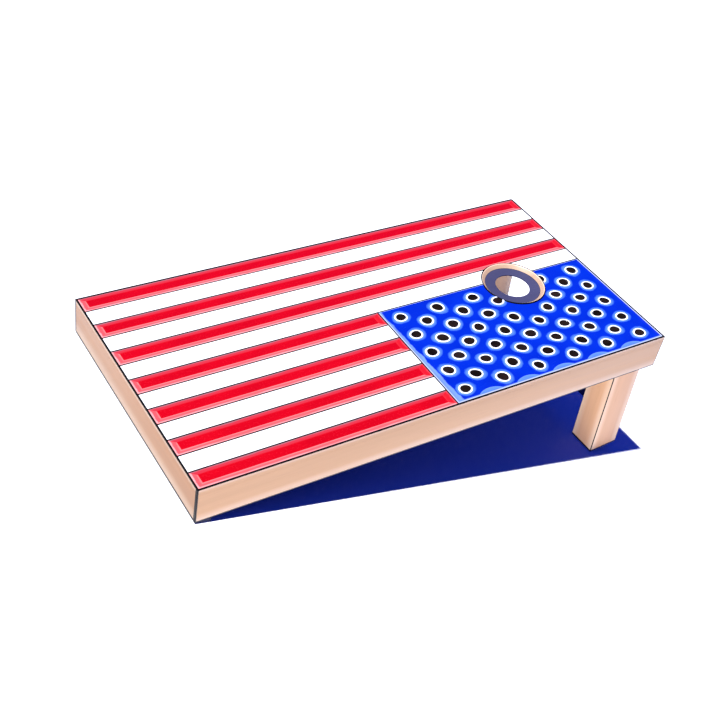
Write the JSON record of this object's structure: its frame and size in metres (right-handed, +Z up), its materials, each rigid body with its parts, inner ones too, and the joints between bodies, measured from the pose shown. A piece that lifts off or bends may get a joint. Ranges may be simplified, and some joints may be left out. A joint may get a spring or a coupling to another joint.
{
  "type": "cornhole board",
  "caption": "Flag-striped slat deck with a bevelled bag hole and raised star rings, tilted on a mitred box frame with a folding leg frame clamped by knobs.",
  "frame": {"origin": "on the ground, at the middle of the bounding box's underside", "axes": "+X along the board from the low end to the high end, +Y across it from the star panel's side to the all-stripe side, +Z up"},
  "size_m": [1.2764, 0.6096, 0.3862],
  "materials": {
    "red_paint": "gloss red paint on a dished hardwood slat",
    "white_paint": "gloss white paint on a flat hardwood slat",
    "blue_paint": "gloss blue paint on a carved panel",
    "black_paint": "black stained plywood",
    "navy_paint": "satin navy paint on softwood",
    "tan_wood": "clear satin lacquer on pale pinkish wood",
    "birch_ply": "raw birch plywood",
    "zinc_steel": "bright zinc plate",
    "brass": "turned brass",
    "black_plastic": "moulded black plastic",
    "navy_rubber": "matt dark navy rubber"
  },
  "bodies": {
    "board": {"red_stripe_1": "red_paint", "red_stripe_2": "red_paint", "red_stripe_3": "red_paint", "red_stripe_4": "red_paint", "red_stripe_5": "red_paint", "red_stripe_6": "red_paint", "red_stripe_7": "red_paint", "white_stripe_1": "white_paint", "white_stripe_2": "white_paint", "white_stripe_3": "white_paint", "white_stripe_4_low": "white_paint", "white_stripe_4_high": "white_paint", "white_stripe_5": "white_paint", "white_stripe_6": "white_paint", "star_panel": "blue_paint", "deck_base": "black_paint", "hole_backing_ring": "navy_paint", "cross_brace": "navy_paint", "corner_block_near": "navy_paint", "corner_block_far": "navy_paint", "hole_collar": "tan_wood", "edge_band_near": "tan_wood", "edge_band_far": "tan_wood", "edge_band_low": "tan_wood", "edge_band_high": "tan_wood", "side_rail_near": "tan_wood", "side_rail_far": "tan_wood", "end_rail_low": "tan_wood", "end_rail_high": "tan_wood", "mitre_key_low_near": "birch_ply", "mitre_key_low_far": "birch_ply", "mitre_key_high_near": "birch_ply", "mitre_key_high_far": "birch_ply", "spacer_washer_near": "zinc_steel", "spacer_washer_far": "zinc_steel", "threaded_insert_near": "brass", "threaded_insert_far": "brass", "low_pad_near": "navy_rubber", "low_pad_far": "navy_rubber"},
    "leg_frame": {"leg_near": "tan_wood", "leg_far": "tan_wood", "leg_rail": "navy_paint", "rail_dowel_near_1": "birch_ply", "rail_dowel_near_2": "birch_ply", "rail_dowel_far_1": "birch_ply", "rail_dowel_far_2": "birch_ply", "foot_pad_near": "navy_rubber", "foot_pad_far": "navy_rubber"},
    "knob_washer_near": {"knob_washer_near": "zinc_steel"},
    "clamp_knob_near": {"pivot_bolt_near": "zinc_steel", "star_knob_near": "black_plastic"},
    "knob_washer_far": {"knob_washer_far": "zinc_steel"},
    "clamp_knob_far": {"pivot_bolt_far": "zinc_steel", "star_knob_far": "black_plastic"}
  },
  "joints": [
    {"name": "leg_fold", "type": "hinge", "parent": "board", "child": "leg_frame", "pos_m": [0.4975, 0, 0.3148], "axis": [0, 1, 0], "range_deg": [0, 94.5]},
    {"name": "knob_travel_near", "type": "slide", "parent": "board", "child": "knob_washer_near", "axis": [0, 1, 0], "range_m": [0, 0.00225]},
    {"name": "knob_turn_near", "type": "hinge", "parent": "knob_washer_near", "child": "clamp_knob_near", "pos_m": [0.4975, -0.2, 0.3148], "axis": [0, 1, 0], "range_deg": [0, 540]},
    {"name": "knob_travel_far", "type": "slide", "parent": "board", "child": "knob_washer_far", "axis": [0, -1, 0], "range_m": [0, 0.00225]},
    {"name": "knob_turn_far", "type": "hinge", "parent": "knob_washer_far", "child": "clamp_knob_far", "pos_m": [0.4975, 0.2, 0.3148], "axis": [0, -1, 0], "range_deg": [0, 540]}
  ],
  "couplings": [
    {"joint": "knob_travel_near", "follows": "knob_turn_near", "m_per_rad": 0.00023873},
    {"joint": "knob_travel_far", "follows": "knob_turn_far", "m_per_rad": 0.00023873}
  ]
}
